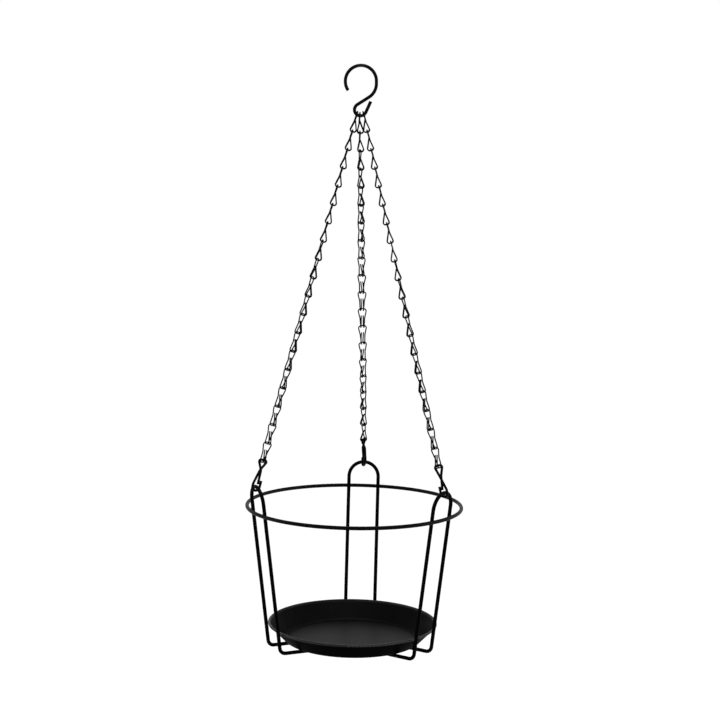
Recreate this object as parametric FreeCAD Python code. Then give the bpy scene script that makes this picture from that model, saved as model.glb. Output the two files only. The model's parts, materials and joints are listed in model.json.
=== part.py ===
import FreeCAD, Part
import math
import os

# Hanging pot holder in painted steel: an S-hook, three strands of folded wire chain, three snap clips,
# and a wire basket with a shallow dish. Millimetres, +Z up, X to the right, Y to the back.
# The origin is the point inside the top of the S-hook where it bears on the rail.

# Basket wire: ring, and hairpin legs with feet; every cut wire end is eased a little
basket_wire = 4.8
ring_outside = 280.0
ring_level = 181.0
leg_height = 216.6
leg_spacing = 40.0
leg_lean = 7.3
foot_bend = 8.0
foot_length = 50.0
weld_gap = 0.05
cut_ease = 0.4

# Dish pressed from sheet, with a rolled rim
dish_outside = 219.0
dish_floor = 172.0
dish_depth = 24.0
dish_sheet = 1.0
dish_corner = 9.0
rim_roll = 3.0

# S-hook: large loop for the rail, slanting middle, small eye with its arm bent up to close it
hook_wire = 4.2
hook_inside = 34.8
hook_tip = 36.0
hook_side = 3.2
hook_shoulder = 19.5
hook_slant = 57.3
hook_eye_bend = 7.5
hook_arm_lean = 24.0
hook_arm_gap = 1.8
hook_play = 0.75

# Chain link: a rounded saddle above and two drop-shaped eyes side by side below. Both eyes bulge to one side
# of the line of pull, the legs above them stand a little to the other, and each cut end laps its leg inside.
link_count = 19
link_wire = 1.7
link_length = 27.6
link_play = 0.4
saddle_width = 12.0
saddle_bend = 3.3
leg_spread = 6.2
leg_offset = 0.85
neck_bend = 5.0
eye_length = 13.2
eye_width = 9.1
eye_bend = 2.7
eye_bulge = 0.5
eye_spread = 4.2
end_spread = 2.7
end_offset = 0.4
end_rise = 3.0
strand_angle = 35.0
back_angle = -4.5
links_per_node = 2

# Snap clip: closed eye above, crossed neck, open loop with a latch below
clip_wire = 3.2
clip_length = 42.5
clip_eye_height = 14.8
clip_eye_width = 13.0
clip_eye_bend = 2.4
clip_loop_width = 12.8
clip_shoulder = 8.5
clip_neck_bend = 7.0
clip_neck_gap = 0.2
clip_latch_height = 15.0
clip_latch_lap = 5.0
clip_latch_gap = 0.15
clip_eye_play = 0.6
clip_leg_play = 0.75

# Where the legs stand. Each strand has its clip's turn on the leg, its spare half turns from there up to the
# hook, the way that its eyes bulge, and how many links at either end hang without a turn.
strands = {"left": 210.0, "right": 330.0, "back": 90.0}
clip_turns = {"left": 0.0, "right": 0.0, "back": -20.0}
half_turns = {"left": 0, "right": 0, "back": -1}
bulge_ways = {"left": 180.0, "right": 0.0, "back": 180.0}
straight_links = {"left": 6, "right": 6, "back": 0}


def vector(x, y, z):
    return FreeCAD.Vector(x, y, z)


def polar(radius, degrees, z=0.0):
    angle = math.radians(degrees)
    return vector(radius * math.cos(angle), radius * math.sin(angle), z)


def upright(radius, degrees):
    """A point of the S-hook's own plane, at an angle from +X towards +Z."""
    angle = math.radians(degrees)
    return vector(radius * math.cos(angle), 0.0, radius * math.sin(angle))


def bent_path(points, radii):
    """Straight runs through the points, with a tangent arc of its own radius at each inner point."""
    edges = []
    last = points[0]
    for before, corner, after, radius in zip(points, points[1:], points[2:], radii):
        back = (before - corner).normalize()
        ahead = (after - corner).normalize()
        half = back.getAngle(ahead) / 2.0
        reach = radius / math.tan(half)
        start = corner + back * reach
        end = corner + ahead * reach
        middle = corner + (back + ahead).normalize() * (radius / math.sin(half) - radius)
        if (start - last).Length > 1e-6:
            edges.append(Part.LineSegment(last, start).toShape())
        edges.append(Part.Arc(start, middle, end).toShape())
        last = end
    if (points[-1] - last).Length > 1e-6:
        edges.append(Part.LineSegment(last, points[-1]).toShape())
    return Part.Wire(edges)


def round_wire(points, radii, diameter):
    """A wire of round section, bent along the points."""
    path = bent_path(points, radii)
    first = path.OrderedEdges[0]
    start = first.valueAt(first.FirstParameter)
    along = first.tangentAt(first.FirstParameter)
    section = Part.Wire(Part.Circle(start, along, diameter / 2.0).toShape())
    return path.makePipeShell([section], True, False)


def eased(wire):
    """A bent wire with the edges of its cut ends rounded off."""
    cuts = [face for face in wire.Faces if isinstance(face.Surface, Part.Plane)]
    return wire.makeFillet(cut_ease, [edge for face in cuts for edge in face.Edges]).Solids[0]


def arc_corners(centre, radius, first, last, count):
    """The corner points that round off to an arc of the S-hook's plane."""
    step = (last - first) / count
    reach = radius / math.cos(math.radians(step / 2.0))
    return [centre + upright(reach, first + step * (index + 0.5)) for index in range(count)]


def corner_half(half, inset, depth, bend):
    """Where to put the corner of an eye, so that once rounded it is the given half as wide as its wire's
    middle line. Its side starts from the inset and reaches the corner over the depth."""
    centre = half - bend
    rise = depth - bend
    angle = math.atan2(centre - inset, rise) + math.asin(bend / math.hypot(centre - inset, rise))
    return inset + depth * math.tan(angle)


# Basket
wire_radius = basket_wire / 2.0
ring_radius = ring_outside / 2.0 - wire_radius
half_spacing = leg_spacing / 2.0
lean = math.radians(leg_lean)
ring_inset = (basket_wire + weld_gap) / math.cos(lean)
leg_at_ring = math.sqrt((ring_radius - ring_inset) ** 2 - half_spacing ** 2)


def leg_reach(level):
    """How far the middle of a leg stands from the basket's axis at a height."""
    return leg_at_ring + (level - ring_level) * math.tan(lean)


def make_ring():
    return Part.makeTorus(ring_radius, wire_radius, vector(0, 0, ring_level))


def make_leg(azimuth):
    foot_corner = leg_reach(wire_radius)
    top_level = leg_height - wire_radius
    top = leg_reach(top_level)
    near = [
        vector(foot_corner - foot_length, -half_spacing, wire_radius),
        vector(foot_corner, -half_spacing, wire_radius),
        vector(top, -half_spacing, top_level),
    ]
    far = [vector(point.x, -point.y, point.z) for point in reversed(near)]
    leg = round_wire(near + far, [foot_bend, half_spacing, half_spacing, foot_bend], basket_wire)
    return eased(leg).rotated(vector(0, 0, 0), vector(0, 0, 1), azimuth)


def make_dish():
    under = basket_wire + weld_gap
    roll_radius = rim_roll / 2.0
    floor_corner = vector(dish_floor / 2.0, 0, under)
    rim = vector(dish_outside / 2.0 - roll_radius, 0, under + dish_depth - roll_radius)
    slope = math.atan2(rim.z - floor_corner.z, rim.x - floor_corner.x)
    inward = vector(-math.sin(slope), 0, math.cos(slope)) * (dish_sheet / 2.0)
    shift = vector(-dish_sheet * math.tan(slope / 2.0), 0, dish_sheet)
    outer_rim = rim - inward
    inner_rim = rim + inward
    outer_corner = vector(floor_corner.x + dish_sheet / 2.0 / math.sin(slope), 0, under)
    outer = bent_path([vector(0, 0, under), outer_corner, outer_rim], [dish_corner])
    inner_start = vector(0, 0, under + dish_sheet)
    inner = bent_path([inner_start, outer_corner + shift, inner_rim], [dish_corner - dish_sheet])
    lip = Part.LineSegment(outer_rim, inner_rim).toShape()
    axis = Part.LineSegment(vector(0, 0, under), inner_start).toShape()
    outline = Part.Wire(Part.__sortEdges__(outer.Edges + inner.Edges + [lip, axis]))
    sheet = Part.Face(outline).revolve(vector(0, 0, 0), vector(0, 0, 1), 360)
    roll = Part.makeTorus(rim.x, roll_radius, vector(0, 0, rim.z))
    return sheet.fuse(roll).removeSplitter().Solids[0]


# Chain link, with its saddle's middle at the origin and hanging down
half_link_wire = link_wire / 2.0
eye_bottom = link_length - link_wire
neck_level = eye_bottom - eye_length
link_pitch = eye_bottom - link_wire - link_play


def make_link():
    leg_plane = leg_spread / 2.0
    eye_plane = eye_spread / 2.0
    end_plane = end_spread / 2.0
    end_side = end_offset - leg_offset
    half = (eye_width - link_wire) / 2.0
    saddle_corner = corner_half((saddle_width - link_wire) / 2.0, leg_plane, neck_level, saddle_bend)
    leg_corner = corner_half(half - eye_bulge, leg_offset, eye_length, eye_bend)
    end_corner = corner_half(half + eye_bulge, end_side, eye_length + end_rise, eye_bend)
    back = [
        vector(0, saddle_corner, 0),
        vector(-leg_offset, leg_plane, -neck_level),
        vector(-leg_corner, eye_plane, -eye_bottom),
        vector(end_corner, end_plane, -eye_bottom),
        vector(end_side, end_plane, end_rise - neck_level),
    ]
    front = [vector(point.x, -point.y, point.z) for point in reversed(back)]
    bends = [saddle_bend, neck_bend, eye_bend, eye_bend]
    return round_wire(front + back, bends[::-1] + bends, link_wire)


# Snap clip, with the middle of its bottom wire at the origin, its latch towards -X
half_clip_wire = clip_wire / 2.0
clip_rise = clip_length - clip_wire


def make_clip():
    eye_depth = clip_eye_height - half_clip_wire
    eye_half = corner_half((clip_eye_width - clip_wire) / 2.0, 0.0, eye_depth, clip_eye_bend)
    loop_half = (clip_loop_width - clip_wire) / 2.0
    neck = clip_rise - eye_depth
    neck_side = (clip_wire + clip_neck_gap) / 2.0
    latch_top = clip_latch_height - half_clip_wire
    tongue = -loop_half + clip_wire + clip_latch_gap
    points = [
        vector(tongue, 0, latch_top - clip_latch_lap),
        vector(0, neck_side, neck),
        vector(eye_half, 0, clip_rise),
        vector(-eye_half, 0, clip_rise),
        vector(0, -neck_side, neck),
        vector(loop_half, 0, clip_shoulder),
        vector(loop_half, 0, 0),
        vector(-loop_half, 0, 0),
        vector(-loop_half, 0, latch_top),
    ]
    radii = [clip_neck_bend, clip_eye_bend, clip_eye_bend, clip_neck_bend, clip_neck_bend, loop_half, loop_half]
    return eased(round_wire(points, radii, clip_wire))


# S-hook, with the middle of its small eye's bottom wire at the origin
hook_radius = hook_wire / 2.0
loop_radius = hook_inside / 2.0 + hook_radius
eye_start = 180.0 - hook_slant
eye_end = 360.0 - hook_arm_lean
slant = math.radians(hook_slant)
turn = math.radians(eye_end - eye_start)
shoulder_x = loop_radius - hook_shoulder * (1.0 - math.cos(slant))
slant_run = (shoulder_x + hook_eye_bend * math.cos(slant)) / math.sin(slant)
loop_rise = hook_side + (hook_shoulder + hook_eye_bend) * math.sin(slant) + slant_run * math.cos(slant)
eye_centre = vector(0, 0, hook_eye_bend)
loop_centre = eye_centre + vector(0, 0, loop_rise)
bearing_rise = loop_centre.z + hook_inside / 2.0


def make_hook():
    shoulder = loop_centre + vector(loop_radius, 0, -hook_side - hook_shoulder * math.tan(slant / 2.0))
    room = (hook_eye_bend - hook_radius) * (1.0 - math.cos(turn)) - hook_arm_gap
    arm = room / -math.sin(turn)
    arm_start = eye_centre + upright(hook_eye_bend, eye_end)
    points = [loop_centre + upright(loop_radius, 180.0 + hook_tip)]
    points += arc_corners(loop_centre, loop_radius, 180.0 + hook_tip, 0.0, 3)
    points += [shoulder]
    points += arc_corners(eye_centre, hook_eye_bend, eye_start, eye_end, 3)
    points += [arm_start + upright(arm, eye_end + 90.0)]
    return eased(round_wire(points, [loop_radius] * 3 + [hook_shoulder] + [hook_eye_bend] * 3, hook_wire))


# Where the strands hang: from a station on the hook's eye down to the top of a leg
strand_length = (
    link_pitch * (link_count - 1)
    + eye_bottom
    - (hook_radius + half_link_wire + hook_play)
    - (half_link_wire + half_clip_wire + clip_eye_play)
    + clip_rise
    - (half_clip_wire + wire_radius + clip_leg_play)
)
leg_top_level = leg_height - wire_radius
leg_top_reach = leg_reach(leg_top_level)
hook_level = leg_top_level + math.sqrt(strand_length ** 2 - leg_top_reach ** 2)
stations = {"left": -strand_angle, "right": strand_angle, "back": back_angle}
to_frame = vector(0, 0, -hook_level - bearing_rise)


class Strand:
    """One strand's straight line from the hook to its leg, with the directions across it."""

    def __init__(self, name):
        azimuth = strands[name]
        self.hook = vector(0, 0, hook_level) + eye_centre + upright(hook_eye_bend, stations[name] - 90.0)
        self.leg = polar(leg_top_reach, azimuth, leg_top_level)
        self.up = (self.hook - self.leg).normalize()
        outward = polar(1.0, azimuth)
        self.out = (outward - self.up * outward.dot(self.up)).normalize()
        self.side = self.up.cross(self.out)
        spare = (self.hook - self.leg).Length - strand_length
        self.pitch = link_pitch + spare / (link_count - 1)
        across = vector(0, 1, 0)
        angle = math.degrees(math.atan2(across.dot(self.side), across.dot(self.out)))
        self.clip_turn = clip_turns[name]
        self.twist = (angle + 90.0) % 180.0 - 90.0 + 180.0 * half_turns[name] - self.clip_turn
        self.bulge_way = bulge_ways[name]
        self.straight = straight_links[name]

    def place(self, shape, point, facing):
        """A copy of a hanging piece, its own Z along the strand and its own Y turned from the way out."""
        angle = math.radians(facing)
        own_y = self.out * math.cos(angle) + self.side * math.sin(angle)
        own_x = own_y.cross(self.up)
        rotation = FreeCAD.Rotation(own_x, own_y, self.up, "ZXY")
        copy = shape.copy()
        copy.Placement = FreeCAD.Placement(point, rotation)
        return copy

    def saddle(self, index):
        """The middle of a link's saddle, counted from 0 at the hook."""
        return self.hook + self.up * (hook_radius + half_link_wire + hook_play - self.pitch * index)

    def facing(self, index):
        """A link's turn from the way out. It lies with the hook at the top and with the clip at the bottom."""
        turned = (index - self.straight) / (link_count - 1 - self.straight)
        return self.bulge_way + self.clip_turn + self.twist * (1.0 - min(max(turned, 0.0), 1.0))

    def links(self, shape):
        return [self.place(shape, self.saddle(i), self.facing(i)) for i in range(link_count)]

    def clip_foot(self):
        return self.leg - self.up * (half_clip_wire + wire_radius + clip_leg_play)

    def clip(self, shape):
        return self.place(shape, self.clip_foot(), self.clip_turn + 90.0)


def chain_groups(links):
    """The links a few at a time from the clip up, with what is left over in the top group."""
    second = links_per_node + len(links) % links_per_node
    starts = [0, *range(second, len(links), links_per_node)]
    return [links[start:end] for start, end in zip(starts, starts[1:] + [len(links)])]


def build():
    nodes = {"s_hook": [make_hook().translated(vector(0, 0, hook_level))]}
    nodes["ring"] = [make_ring()]
    nodes["dish"] = [make_dish()]
    link = make_link()
    clip = make_clip()
    for name, azimuth in strands.items():
        strand = Strand(name)
        nodes[name + "_leg"] = [make_leg(azimuth)]
        nodes[name + "_clip"] = [strand.clip(clip)]
        for number, group in enumerate(chain_groups(strand.links(link)), start=1):
            nodes[f"{name}_chain_{number:02d}"] = group
    return nodes


os.makedirs("parts", exist_ok=True)
for node, solids in build().items():
    placed = [solid.translated(to_frame) for solid in solids]
    shape = placed[0] if len(placed) == 1 else Part.Compound(placed)
    shape.exportStep(f"parts/{node}.step")
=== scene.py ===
import json
import math

import bpy
from mathutils import Matrix, Vector


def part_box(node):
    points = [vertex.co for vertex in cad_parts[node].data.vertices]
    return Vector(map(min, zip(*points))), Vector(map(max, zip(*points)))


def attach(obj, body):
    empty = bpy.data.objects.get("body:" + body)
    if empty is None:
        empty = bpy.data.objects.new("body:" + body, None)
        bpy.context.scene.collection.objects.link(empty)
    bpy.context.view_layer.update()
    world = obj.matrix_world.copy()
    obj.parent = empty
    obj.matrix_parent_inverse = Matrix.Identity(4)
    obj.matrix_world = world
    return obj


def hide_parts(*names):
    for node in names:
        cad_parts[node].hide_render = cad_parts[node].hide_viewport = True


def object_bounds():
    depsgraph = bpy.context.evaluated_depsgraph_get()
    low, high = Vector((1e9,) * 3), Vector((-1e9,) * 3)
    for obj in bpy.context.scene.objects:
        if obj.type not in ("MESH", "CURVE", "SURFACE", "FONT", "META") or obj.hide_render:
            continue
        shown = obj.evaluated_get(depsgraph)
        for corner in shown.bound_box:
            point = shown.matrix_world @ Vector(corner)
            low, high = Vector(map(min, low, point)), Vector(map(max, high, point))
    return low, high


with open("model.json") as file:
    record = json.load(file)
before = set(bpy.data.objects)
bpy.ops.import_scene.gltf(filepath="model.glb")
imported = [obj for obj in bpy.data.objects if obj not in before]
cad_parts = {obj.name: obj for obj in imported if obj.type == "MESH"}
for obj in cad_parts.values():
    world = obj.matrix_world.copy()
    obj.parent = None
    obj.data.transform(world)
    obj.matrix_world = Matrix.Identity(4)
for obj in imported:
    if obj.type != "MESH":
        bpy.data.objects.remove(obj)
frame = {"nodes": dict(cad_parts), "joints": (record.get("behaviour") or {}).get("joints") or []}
cad_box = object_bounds()


# Legs. Three hairpins of round steel wire, each with its two feet bent inward to carry the dish.
# They are powder coated black after welding, and the coat is a little rubbed where a clip hangs.
class Socket:
    """One output in a node tree. Sums on it add Math nodes, and any other node comes from node()."""

    def __init__(self, tree, output):
        self.tree = tree
        self.output = output

    def node(self, kind, settings, inputs, result=0):
        made = self.tree.nodes.new(kind)
        for name, value in settings.items():
            setattr(made, name, value)
        for name, value in inputs.items():
            if isinstance(value, Socket):
                self.tree.links.new(value.output, made.inputs[name])
            else:
                made.inputs[name].default_value = value
        return Socket(self.tree, made.outputs[result])

    def math(self, operation, first, second=0.0):
        return self.node("ShaderNodeMath", {"operation": operation}, {0: first, 1: second})

    def __add__(self, other):
        return self.math("ADD", self, other)

    __radd__ = __add__

    def __sub__(self, other):
        return self.math("SUBTRACT", self, other)

    def __rsub__(self, other):
        return self.math("SUBTRACT", other, self)

    def __mul__(self, other):
        return self.math("MULTIPLY", self, other)

    __rmul__ = __mul__

    def fade(self, start, end):
        """0 before the start, 1 past the end and smooth between them. The start may be the larger."""
        inputs = {"Value": self, "From Min": start, "From Max": end}
        return self.node("ShaderNodeMapRange", {"interpolation_type": "SMOOTHSTEP"}, inputs)

    def noise(self, scale, detail):
        return self.node("ShaderNodeTexNoise", {}, {"Vector": self, "Scale": scale, "Detail": detail})

    def mix(self, first, second):
        """The colour that lies this far from the first to the second."""
        return self.node("ShaderNodeMix", {"data_type": "RGBA"}, {0: self, 6: first, 7: second}, 2)

    def close_to(self, points, start, end):
        """1 within the end distance of any of the points, and 0 beyond the start distance."""
        near = None
        for point in points:
            inputs = {0: self, 1: point}
            away = self.node("ShaderNodeVectorMath", {"operation": "DISTANCE"}, inputs, "Value")
            near = away if near is None else self.math("MINIMUM", near, away)
        return near.fade(start, end)


cloud_scale, wear_scale, peel_scale, grain_scale = 45.0, 500.0, 800.0, 2400.0
cloud_gloss, grain_gloss, bare_gloss = 0.14, 0.1, 0.1
peel_depth = 0.00006
bare_steel = (0.17, 0.165, 0.16, 1.0)
rub_share = 0.15
# The gloss coat that is laid on the dish by place, for a painted highlight on the rim and painted sheen inside.
sheen_coat_roughness, sheen_coat_index = 0.42, 1.28


def powder_coat(name, dark, light, shine, roughness, worn=None, smooth=None):
    """Black powder coat baked on steel: fine orange peel, faint clouds in its black and its gloss, and a little
    bare metal where it is rubbed. worn takes the place on the surface and gives where that is, and smooth gives
    the weight of a gloss coat by place, which can lay a painted highlight and painted sheen on the surface."""
    finish = bpy.data.materials.new(name)
    finish.use_nodes = True
    tree = finish.node_tree
    shader = tree.nodes["Principled BSDF"]
    shader.inputs["Specular IOR Level"].default_value = shine
    place = Socket(tree, tree.nodes.new("ShaderNodeTexCoord").outputs["Object"])
    cloud = place.noise(cloud_scale, 4.0)
    grain = place.noise(grain_scale, 2.0)
    colour = cloud.fade(0.3, 0.7).mix((*dark, 1.0), (*light, 1.0))
    gloss = roughness + cloud_gloss * (cloud - 0.5) + grain_gloss * (grain - 0.5)
    if worn:
        bare = rub_share * worn(place) * place.noise(wear_scale, 3.0).fade(0.4, 0.62)
        colour = bare.mix(colour, bare_steel)
        gloss = gloss - bare_gloss * bare
        tree.links.new(bare.output, shader.inputs["Metallic"])
    if smooth:
        shader.inputs["Coat Roughness"].default_value = sheen_coat_roughness
        shader.inputs["Coat IOR"].default_value = sheen_coat_index
        tree.links.new(smooth(place).output, shader.inputs["Coat Weight"])
    tree.links.new(colour.output, shader.inputs["Base Color"])
    tree.links.new(gloss.output, shader.inputs["Roughness"])
    peel = place.noise(peel_scale, 2.0) + 0.4 * grain
    bump = place.node("ShaderNodeBump", {}, {"Strength": 0.25, "Distance": peel_depth, "Height": peel})
    tree.links.new(bump.output, shader.inputs["Normal"])
    return finish


def dress(node, finish):
    """Puts a finish on a piece that is shown as it was modelled."""
    materials = frame["nodes"][node].data.materials
    materials.clear()
    materials.append(finish)


leg_azimuths = {"left": 210.0, "right": 330.0, "back": 90.0}
leg_low, leg_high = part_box("back_leg")
ring_low, ring_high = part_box("ring")
basket_wire = ring_high.z - ring_low.z
feet_level = leg_low.z
half_spacing = (leg_high.x - leg_low.x - basket_wire) / 2


def on_leg(name, reach, aside, level):
    """A point by its distance out along a leg's direction, its distance to the side, and its level."""
    return Matrix.Rotation(math.radians(leg_azimuths[name]), 3, "Z") @ Vector((reach, aside, level))


loop_tops = [on_leg(name, leg_high.y - basket_wire / 2, 0.0, leg_high.z - basket_wire) for name in leg_azimuths]
loop_rub = (0.0075, 0.0025)
leg_black = ((0.0006, 0.0006, 0.0007), (0.0014, 0.0014, 0.0016))
leg_coat = powder_coat("leg_coat", *leg_black, 0.014, 0.42, lambda place: place.close_to(loop_tops, *loop_rub))
for name in leg_azimuths:
    dress(name + "_leg", leg_coat)

# Ring. One hoop of the same wire, butt welded, round the outside of the legs. It holds their spacing
# and keeps a pot from tipping out.
ring_black = ((0.0012, 0.0012, 0.0014), (0.0026, 0.0026, 0.0029))
dress("ring", powder_coat("ring_coat", *ring_black, 0.035, 0.4))

# Welds. Flash from resistance welding, squeezed out at the six crossings of the ring and the legs, and
# small tacks between the feet and the dish. They lie under the same coat as the legs.
ring_bead = (0.0046, 0.0046, 0.0018)
foot_tack = (0.0052, 0.0062, 0.0017)
tack_reaches = (0.064, 0.078)
tack_sink = 0.0001
bead_wander = 0.0002
lump_scale = 700.0
sharp_angle = math.radians(50.0)


def new_tree(name, sizes):
    """A tree of geometry nodes with named inputs, which come back as sockets."""
    tree = bpy.data.node_groups.new(name, "GeometryNodeTree")
    for size, kind in {"Geometry": "Geometry", **sizes, "Coat": "Material"}.items():
        tree.interface.new_socket(size, in_out="INPUT", socket_type="NodeSocket" + kind)
    tree.interface.new_socket("Geometry", in_out="OUTPUT", socket_type="NodeSocketGeometry")
    outputs = tree.nodes.new("NodeGroupInput").outputs
    return {output.name: Socket(tree, output) for output in outputs if output.name}


def close_tree(pieces, coat):
    """Ends a tree: its edges stay sharp at cut ends, and the rest is smooth and coated."""
    smooth = pieces.node("GeometryNodeSetShadeSmooth", {}, {"Geometry": pieces})
    angle = pieces.node("GeometryNodeInputMeshEdgeAngle", {}, {})
    cut = pieces.node("FunctionNodeCompare", {"operation": "GREATER_THAN"}, {0: angle, 1: sharp_angle})
    edges = {"Geometry": smooth, "Selection": cut, "Shade Smooth": False}
    crisp = pieces.node("GeometryNodeSetShadeSmooth", {"domain": "EDGE"}, edges)
    real = pieces.node("GeometryNodeRealizeInstances", {}, {"Geometry": crisp})
    coated = pieces.node("GeometryNodeSetMaterial", {}, {"Geometry": real, "Material": coat})
    pieces.tree.links.new(coated.output, pieces.tree.nodes.new("NodeGroupOutput").inputs[0])


def made_by(tree, name, base, sizes):
    """Runs a tree on a base mesh and keeps the result as a plain mesh."""
    piece = bpy.data.objects.new(name, base)
    bpy.context.scene.collection.objects.link(piece)
    step = piece.modifiers.new(name, "NODES")
    step.node_group = tree
    for entry in tree.interface.items_tree:
        if entry.in_out == "INPUT" and entry.name in sizes:
            step[entry.identifier] = sizes[entry.name]
    graph = bpy.context.evaluated_depsgraph_get()
    plain = bpy.data.meshes.new_from_object(
        piece.evaluated_get(graph), preserve_all_data_layers=True, depsgraph=graph
    )
    piece.modifiers.remove(step)
    piece.data = plain
    plain.name = name
    return piece


bead = new_tree("weld_beads", {"Size": "Vector", "Wander": "Float", "Seed": "Float"})
drop = bead["Size"].node("GeometryNodeMeshIcoSphere", {}, {"Radius": 1.0, "Subdivisions": 3})
along, outward = (
    drop.node("GeometryNodeInputNamedAttribute", {"data_type": "FLOAT_VECTOR"}, {"Name": name})
    for name in ("along", "outward")
)
bead_axes = {"Primary Axis": outward, "Secondary Axis": along}
bead_turn = drop.node("FunctionNodeAxesToRotation", {"primary_axis": "Z", "secondary_axis": "Y"}, bead_axes)
bead_spots = {"Points": bead["Geometry"], "Instance": drop, "Rotation": bead_turn, "Scale": bead["Size"]}
beads = drop.node(
    "GeometryNodeRealizeInstances", {}, {0: drop.node("GeometryNodeInstanceOnPoints", {}, bead_spots)}
)
bead_place = drop.node("GeometryNodeInputPosition", {}, {})
lumps = {"Vector": bead_place, "W": bead["Seed"], "Scale": lump_scale, "Detail": 2.0}
lump = 2.0 * drop.node("ShaderNodeTexNoise", {"noise_dimensions": "4D"}, lumps) - 1.0
bead_face = drop.node("GeometryNodeInputNormal", {}, {})
swell = {0: bead_face, "Scale": lump * bead["Wander"]}
bead_shift = drop.node("ShaderNodeVectorMath", {"operation": "SCALE"}, swell)
close_tree(beads.node("GeometryNodeSetPosition", {}, {0: beads, "Offset": bead_shift}), bead["Coat"])


def weld(name, spots, size, seed):
    """Beads at the spots, each with its place, the way it runs and the way it faces."""
    base = bpy.data.meshes.new(name)
    base.from_pydata([spot[0] for spot in spots], [], [])
    for label, column in (("along", 1), ("outward", 2)):
        layer = base.attributes.new(label, "FLOAT_VECTOR", "POINT")
        layer.data.foreach_set("vector", [part for spot in spots for part in spot[column]])
    sizes = {"Size": [part / 2 for part in size], "Wander": bead_wander, "Seed": seed, "Coat": leg_coat}
    piece = made_by(bead["Size"].tree, name, base, sizes)
    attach(piece, "basket")


ring_radius = ring_high.x - basket_wire / 2
ring_level = (ring_low.z + ring_high.z) / 2
weld_radius = ring_radius - basket_wire / 2
cross_angle = math.asin(half_spacing / (ring_radius - basket_wire))
crossings = []
for azimuth in leg_azimuths.values():
    for side in (-1, 1):
        angle = math.radians(azimuth) + side * cross_angle
        facing = Vector((math.cos(angle), math.sin(angle), 0.0))
        crossings.append((weld_radius * facing + Vector((0, 0, ring_level)), facing.cross((0, 0, 1)), facing))
weld("ring_welds", crossings, ring_bead, 3.0)

tacks = []
for name in leg_azimuths:
    for side in (-half_spacing, half_spacing):
        for reach in tack_reaches:
            spot = on_leg(name, reach, side, feet_level + basket_wire - tack_sink)
            tacks.append((spot, on_leg(name, 1.0, 0.0, 0.0), (0.0, 0.0, 1.0)))
weld("foot_tacks", tacks, foot_tack, 8.0)

# Dish. One shallow saucer pressed from steel sheet, with a sloping wall and a small roll round the rim.
# It sits on the six feet. A real gloss coat lies on it, but it is laid by place as painted light: in full on the
# rim for a painted highlight, less on the floor and little on the inside of the wall for painted sheen, and none
# outside.
dish_low, dish_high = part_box("dish")
dish_floor = 0.086
dish_sheet = 0.001
rim_roll = 0.003
rim_radius = dish_high.x - rim_roll / 2
rim_level = dish_high.z - dish_low.z
wall_spread = (rim_radius - dish_floor) / (rim_level - rim_roll / 2)
floor_edge, wall_foot = 0.076, 0.087
# Painted sheen: the floor gets more of the gloss coat than the inside of the wall, so it shows lighter.
floor_painted_sheen, wall_painted_sheen = 0.48, 0.13


def dish_painted_sheen(place):
    """The weight of the dish's gloss coat, laid as painted light: 1 on the rolled rim for a painted highlight, a
    middle weight on the dish's floor and a small one on the inside of its wall for painted sheen, and 0 on the
    faces outside."""
    x, y, z = (place.node("ShaderNodeSeparateXYZ", {}, {0: place}, axis) for axis in "XYZ")
    squares = x * x + y * y
    radius = squares.math("SQRT", squares)
    level = z - dish_low.z
    floor_top = level.fade(0.4 * dish_sheet, 0.6 * dish_sheet)
    inside = floor_top * (dish_floor + wall_spread * level - radius).fade(-0.4 * dish_sheet, 0.4 * dish_sheet)
    wall = radius.fade(floor_edge, wall_foot)
    rim_foot = rim_level - rim_roll
    # Painted highlight: the rolled rim gets the full gloss coat, so a light line shows along it.
    rim = level.fade(rim_foot, rim_foot + 0.3 * rim_roll)
    painted_gloss = inside * (floor_painted_sheen - (floor_painted_sheen - wall_painted_sheen) * wall)
    return painted_gloss.math("MAXIMUM", painted_gloss, rim)


dish_black = ((0.0004, 0.0004, 0.0005), (0.0009, 0.0009, 0.001))
# The dish's gloss coat is laid by place, as a painted highlight on the rim and painted sheen inside.
dress("dish", powder_coat("dish_coat", *dish_black, 0.0015, 0.42, smooth=dish_painted_sheen))

# Clips. Three snap clips, each one spring wire bent into an eye, a crossed neck and an open loop. The
# loop's end catches behind the tongue, so that a strand comes off its leg without tools.
chain_black = ((0.0008, 0.0008, 0.0009), (0.002, 0.002, 0.0022))
clip_coat = powder_coat("clip_coat", *chain_black, 0.025, 0.38)
for name in leg_azimuths:
    dress(name + "_clip", clip_coat)

# Chains. Links folded from one wire each: a rounded saddle above and two drop-shaped eyes side by side below,
# which bulge to one side. The next saddle goes through both eyes, and the coat is a little rubbed there.
link_count = 19
top_links = 3
links_per_node = 2
wire_sides, bend_steps = 12, 6
link_wire = 0.0017
link_length = 0.0276
saddle_width = 0.012
saddle_bend = 0.0033
leg_plane = 0.0031
leg_offset = 0.00085
neck_bend = 0.005
eye_length = 0.0132
eye_width = 0.0091
eye_bend = 0.0027
eye_bulge = 0.0005
eye_plane = 0.0021
end_plane = 0.00135
end_side = -0.00045
end_rise = 0.003
link_rub = (0.0028, 0.0012)
eye_bottom = link_length - link_wire
neck_level = eye_bottom - eye_length


def corner_half(half, inset, depth, bend):
    """Where the corner of an eye goes, so that once rounded the eye is the given half as wide."""
    rise = depth - bend
    spread = half - bend - inset
    return inset + depth * math.tan(math.atan2(spread, rise) + math.asin(bend / math.hypot(spread, rise)))


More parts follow.
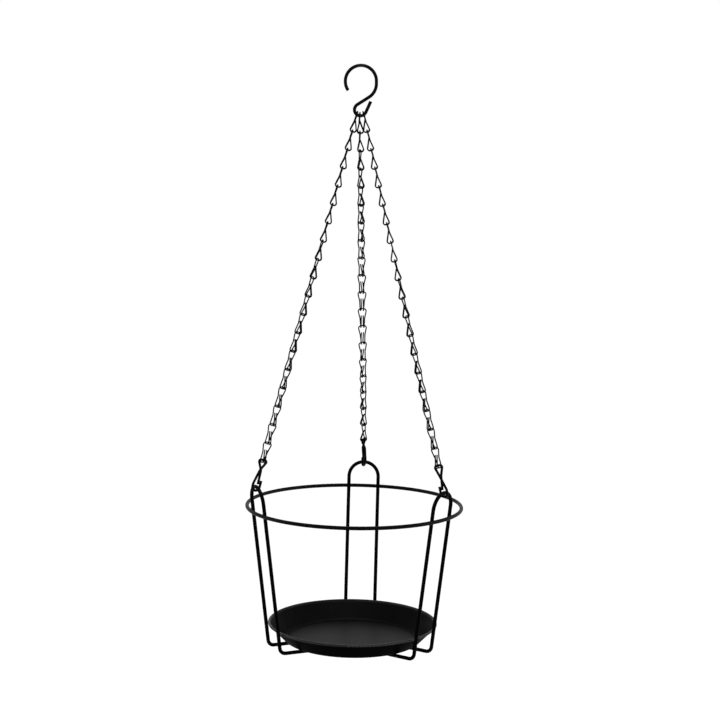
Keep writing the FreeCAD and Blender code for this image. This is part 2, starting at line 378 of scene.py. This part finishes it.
eye_half = (eye_width - link_wire) / 2
saddle_corner = corner_half((saddle_width - link_wire) / 2, leg_plane, neck_level, saddle_bend)
leg_corner = corner_half(eye_half - eye_bulge, leg_offset, eye_length, eye_bend)
end_corner = corner_half(eye_half + eye_bulge, end_side, eye_length + end_rise, eye_bend)
back_half = [
    (0.0, saddle_corner, 0.0, saddle_bend),
    (-leg_offset, leg_plane, -neck_level, neck_bend),
    (-leg_corner, eye_plane, -eye_bottom, eye_bend),
    (end_corner, end_plane, -eye_bottom, eye_bend),
    (end_side, end_plane, end_rise - neck_level, 0.0),
]
corners = [(x, -y, z, bend) for x, y, z, bend in reversed(back_half)] + back_half
folded = bpy.data.meshes.new("folded_wire")
folded.from_pydata([corner[:3] for corner in corners], [(i, i + 1) for i in range(len(corners) - 1)], [])
folded.attributes.new("bend", "FLOAT", "POINT").data.foreach_set("value", [corner[3] for corner in corners])

link_sizes = {"Wire": "Float", "Sides": "Int", "Steps": "Int", "Count": "Int", "First": "Vector", "Step": "Vector"}
link_ways = {"Up": "Vector", "Out": "Vector", "Facing": "Float", "Turn": "Float"}
link = new_tree("wire_links", {**link_sizes, **link_ways})
run = link["Wire"].node("GeometryNodeMeshToCurve", {}, {"Mesh": link["Geometry"]})
bend = run.node("GeometryNodeInputNamedAttribute", {"data_type": "FLOAT"}, {"Name": "bend"})
bends = {"Curve": run, "Count": link["Steps"], "Radius": bend}
bent = run.node("GeometryNodeFilletCurve", {"mode": "POLY"}, bends)
circle = {"Resolution": link["Sides"], "Radius": 0.5 * link["Wire"]}
section = run.node("GeometryNodeCurvePrimitiveCircle", {"mode": "RADIUS"}, circle)
tube = run.node("GeometryNodeCurveToMesh", {}, {"Curve": bent, "Profile Curve": section, "Fill Caps": True})
bearings = [(0.0, side * (eye_plane + end_plane) / 2, level) for side in (-1, 1) for level in (0.0, -eye_bottom)]
rub = run.node("GeometryNodeInputPosition", {}, {}).close_to(bearings, *link_rub)
rubbed = run.node("GeometryNodeStoreNamedAttribute", {}, {"Geometry": tube, "Name": "rub", "Value": rub})
row = {"Count": link["Count"], "Start Location": link["First"], "Offset": link["Step"]}
saddles = run.node("GeometryNodeMeshLine", {"mode": "OFFSET"}, row)
hang_axes = {"Primary Axis": link["Up"], "Secondary Axis": link["Out"]}
hang = run.node("FunctionNodeAxesToRotation", {"primary_axis": "Z", "secondary_axis": "Y"}, hang_axes)
twist = link["Facing"] + link["Turn"] * run.node("GeometryNodeInputIndex", {}, {})
spin = run.node("FunctionNodeAxisAngleToRotation", {}, {"Axis": (0.0, 0.0, 1.0), "Angle": twist})
way = run.node("FunctionNodeRotateRotation", {"rotation_space": "LOCAL"}, {"Rotation": hang, "Rotate By": spin})
hung = run.node("GeometryNodeInstanceOnPoints", {}, {"Points": saddles, "Instance": rubbed, "Rotation": way})
close_tree(hung, link["Coat"])


def rubbed_links(place):
    """Where the links bear, as the tree stored it on their wire."""
    return place.node("ShaderNodeAttribute", {"attribute_name": "rub"}, {}, "Fac")


chain_coat = powder_coat("chain_coat", *chain_black, 0.025, 0.38, rubbed_links)
anchors = {joint["name"]: joint for joint in frame["joints"]}
first_links = [0, *range(top_links, link_count, links_per_node)]
clip_turns = {"left": 0.0, "right": 0.0, "back": math.radians(-20.0)}
half_turns = {"left": 0, "right": 0, "back": -1}
bulge_ways = {"left": math.pi, "right": 0.0, "back": math.pi}
straight_links = {"left": 6, "right": 6, "back": 0}


def link_facings(name, up, out):
    """How far each link is turned from the way out. The straight ones at the top lie with the hook, the last link
    with the clip, and those between turn evenly."""
    across = math.atan2(up.cross(out).y, out.y)
    last = clip_turns[name]
    twist = (across + math.pi / 2) % math.pi - math.pi / 2 + math.pi * half_turns[name] - last
    straight = straight_links[name]
    shares = [(index - straight) / (link_count - 1 - straight) for index in range(link_count)]
    return [bulge_ways[name] + last + twist * (1.0 - min(max(share, 0.0), 1.0)) for share in shares]


for name in leg_azimuths:
    joints = [f"{name}_sway"] + [f"{name}_chain_{number:02d}_bend" for number in range(2, len(first_links) + 1)]
    top = Vector(anchors[joints[0]]["pos_m"])
    pitch = (Vector(anchors[joints[-1]]["pos_m"]) - top) / first_links[-1]
    up = -pitch.normalized()
    out = Vector(anchors[joints[0]]["axis"])
    facings = link_facings(name, up, out)
    for number, first in enumerate(first_links, start=1):
        node = f"{name}_chain_{number:02d}"
        count = [*first_links, link_count][number] - first
        turn = facings[first + 1] - facings[first]
        wire = {"Wire": link_wire, "Sides": wire_sides, "Steps": bend_steps, "Coat": chain_coat}
        places = {"Count": count, "First": top + pitch * first, "Step": pitch}
        ways = {"Up": up, "Out": out, "Facing": facings[first], "Turn": turn}
        links = {**wire, **places, **ways}
        piece = made_by(run.tree, f"{name}_links_{number:02d}", folded, links)
        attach(piece, node)
        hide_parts(node)

# S-hook. One wire with a large loop to go over a rail, and a small eye closed on the three top links.
# The coat is a little rubbed at the top of the loop and in the bottom of the eye.
eye_rise = 0.004
hook_bearings = [(0.0, 0.0, 0.0), (0.0, 0.0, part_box("s_hook")[0].z + eye_rise)]
hook_rub = (0.008, 0.003)
hook_black = ((0.0014, 0.0014, 0.0016), (0.003, 0.003, 0.0033))
hook_coat = powder_coat("hook_coat", *hook_black, 0.04, 0.4, lambda place: place.close_to(hook_bearings, *hook_rub))
dress("s_hook", hook_coat)

# Floor. A wide pale studio floor, well below the feet because the holder hangs. The camera and reflections
# see it nearly white, and it still takes the shadow.
floor_drop = 0.36
floor_half = 14.0
floor_glow, floor_glow_share = 1.12, 0.85
floor_greys = ((0.84, 0.84, 0.84, 1.0), (0.88, 0.88, 0.88, 1.0))
floor_level = feet_level - floor_drop
floor_mesh = bpy.data.meshes.new("floor")
floor_sides = [(-1, -1), (1, -1), (1, 1), (-1, 1)]
floor_mesh.from_pydata([(x * floor_half, y * floor_half, floor_level) for x, y in floor_sides], [], [(0, 1, 2, 3)])
floor = bpy.data.objects.new("floor", floor_mesh)
bpy.context.scene.collection.objects.link(floor)


def seen(tree):
    """1 for a ray from the camera, a reflection or a glass, and 0 for one that only brings light."""
    paths = tree.nodes.new("ShaderNodeLightPath").outputs
    camera, gloss, glass = (
        Socket(tree, paths[name]) for name in ("Is Camera Ray", "Is Glossy Ray", "Is Transmission Ray")
    )
    return camera.math("MAXIMUM", camera.math("MAXIMUM", camera, gloss), glass)


floor_paint = bpy.data.materials.new("floor_paint")
floor_paint.use_nodes = True
paint_tree = floor_paint.node_tree
paint = paint_tree.nodes["Principled BSDF"]
paint.inputs["Roughness"].default_value = 0.9
paint_seen = seen(paint_tree)
paint_place = Socket(paint_tree, paint_tree.nodes.new("ShaderNodeTexCoord").outputs["Object"])
paint_tree.links.new(paint_place.noise(3.0, 3.0).mix(*floor_greys).output, paint.inputs["Base Color"])
glow = paint_seen.node("ShaderNodeEmission", {}, {"Color": (1.0, 1.0, 1.0, 1.0), "Strength": floor_glow})
layers = {0: floor_glow_share * paint_seen, 1: Socket(paint_tree, paint.outputs[0]), 2: glow}
painted = paint_seen.node("ShaderNodeMixShader", {}, layers)
paint_tree.links.new(painted.output, paint_tree.nodes["Material Output"].inputs["Surface"])
floor_mesh.materials.append(floor_paint)

# Light. A white room, which lights the holder with about half the brightness that the camera and reflections
# see. A large soft box hangs overhead, one stands to the right and a weaker one to the left.
room = bpy.data.worlds.new("room")
bpy.context.scene.world = room
room.use_nodes = True
wall = room.node_tree.nodes["Background"]
wall.inputs["Color"].default_value = (1.0, 1.0, 1.0, 1.0)
room_light = 0.45
room_level = room_light + (1.0 - room_light) * seen(room.node_tree)
room.node_tree.links.new(room_level.output, wall.inputs["Strength"])


def soft_box(name, place, width, height, power):
    """An area lamp that faces the middle of the holder."""
    lamp = bpy.data.lights.new(name, "AREA")
    lamp.shape = "RECTANGLE"
    lamp.size = width
    lamp.size_y = height
    lamp.energy = power
    stand = bpy.data.objects.new(name, lamp)
    bpy.context.scene.collection.objects.link(stand)
    stand.location = place
    aim = (cad_box[0] + cad_box[1]) / 2 - stand.location
    stand.rotation_euler = aim.to_track_quat("-Z", "Y").to_euler()


soft_box("top_light", (0.1, 0.25, 1.5), 1.6, 1.6, 26.0)
soft_box("right_light", (1.9, 0.2, 0.1), 0.9, 1.6, 12.0)
soft_box("left_light", (-1.9, -0.1, 0.0), 0.9, 1.6, 7.0)

# Camera. About two metres in front, a little to the right and 0.6 m above the feet, tilted down.
# The focal length is in pixels of the 720 pixel frame, and so is the shift that puts the basket's axis in place.
frame_pixels = 720.0
focal_pixels = 1566.0
axis_pixels = 3.5
camera_reach = 1.983
camera_height = 0.5864
camera_turn = math.radians(5.26)
camera_dip = math.radians(6.25)
camera_roll = math.radians(0.91)
axis_shift = math.atan(axis_pixels / focal_pixels)
lens = bpy.data.cameras.new("camera")
lens.sensor_width = 36.0
lens.lens = lens.sensor_width * focal_pixels / frame_pixels
lens.clip_end = 60.0
camera = bpy.data.objects.new("camera", lens)
bpy.context.scene.collection.objects.link(camera)
tripod = Matrix.Rotation(camera_turn, 3, "Z") @ Vector((0.0, -camera_reach, 0.0))
tripod.z = feet_level + camera_height
pan = Matrix.Rotation(camera_turn - axis_shift, 4, "Z")
tilt = Matrix.Rotation(math.pi / 2 - camera_dip, 4, "X")
camera.matrix_world = Matrix.Translation(tripod) @ pan @ tilt @ Matrix.Rotation(camera_roll, 4, "Z")
bpy.context.scene.camera = camera
bpy.context.scene.view_settings.view_transform = "Standard"
